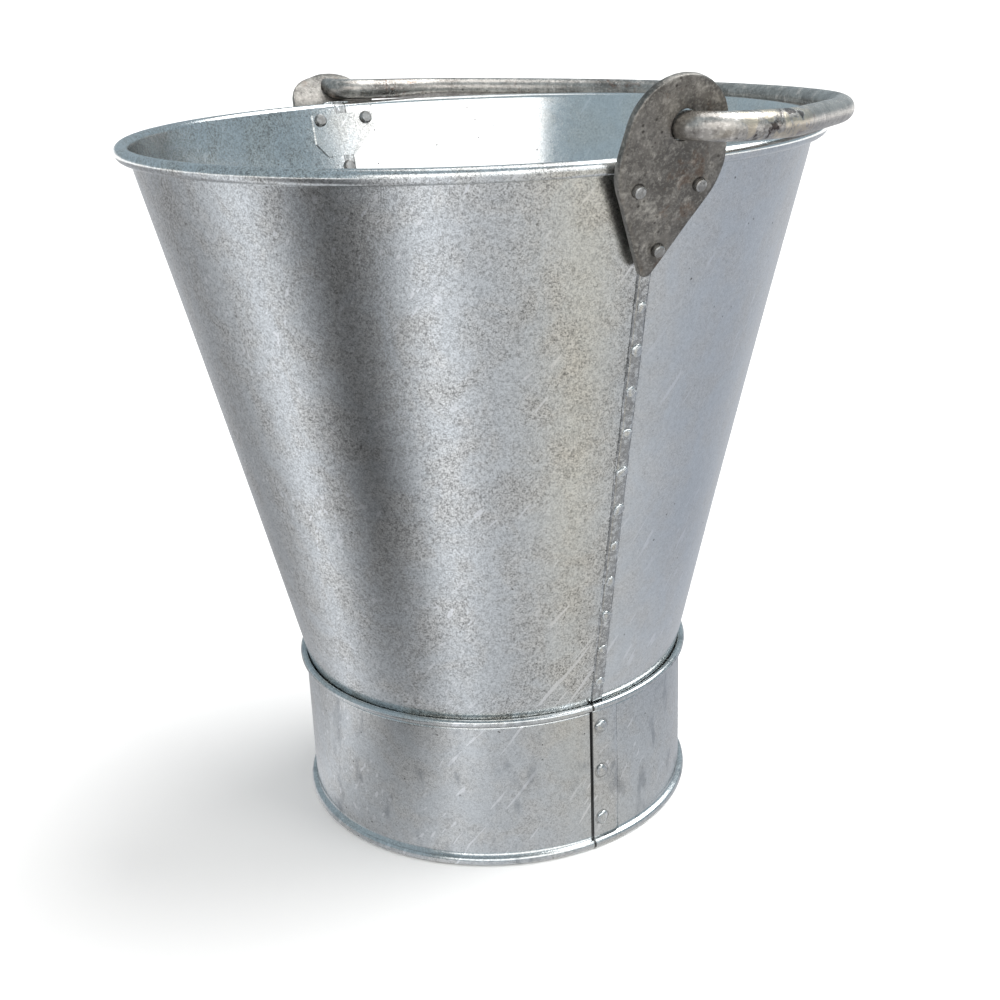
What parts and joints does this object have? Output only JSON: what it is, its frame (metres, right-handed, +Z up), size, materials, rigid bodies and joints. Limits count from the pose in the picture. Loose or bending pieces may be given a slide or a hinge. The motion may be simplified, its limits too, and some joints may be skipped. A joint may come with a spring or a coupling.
{
  "type": "feed bucket",
  "caption": "Flared galvanised bucket with wired rim, riveted foot band, two spade-shaped ears and a round swinging bail handle.",
  "frame": {"origin": "centre of the foot ring, on the floor", "axes": "+Z up along the bucket's axis; +X towards the near ear; the bail at rest lies towards +Y"},
  "size_m": [0.3541, 0.3097, 0.34],
  "materials": {
    "galvanised_sheet": "hot-dip galvanised, fine spangle, lightly worn",
    "galvanised_band": "hot-dip galvanised, smoother, lightly scuffed",
    "ring_wire": "plain drawn wire",
    "ear_steel": "dull weathered steel with brown stain",
    "bail_steel": "worn weathered steel, handled bright on top",
    "rivets": "galvanised, dull"
  },
  "bodies": {
    "bucket": {"body_half_left": "galvanised_sheet", "body_half_right": "galvanised_sheet", "bottom_pan": "galvanised_sheet", "near_backing_plate": "galvanised_sheet", "far_backing_plate": "galvanised_sheet", "foot_band": "galvanised_band", "rim_wire": "ring_wire", "foot_wire": "ring_wire", "near_ear_plate": "ear_steel", "far_ear_plate": "ear_steel", "band_rivet_upper": "rivets", "band_rivet_middle": "rivets", "band_rivet_lower": "rivets", "near_seam_rivets": "rivets", "far_seam_rivets": "rivets", "near_ear_rivet_left": "rivets", "near_ear_rivet_right": "rivets", "near_ear_rivet_lower": "rivets", "far_ear_rivet_left": "rivets", "far_ear_rivet_right": "rivets", "far_ear_rivet_lower": "rivets"},
    "bail": {"bail_handle": "bail_steel"}
  },
  "joints": [
    {"name": "bail_swing", "type": "hinge", "parent": "bucket", "child": "bail", "pos_m": [0, 0, 0.3206], "axis": [0.9999, 0, 0.0119], "range_deg": [0, 185.5]}
  ]
}
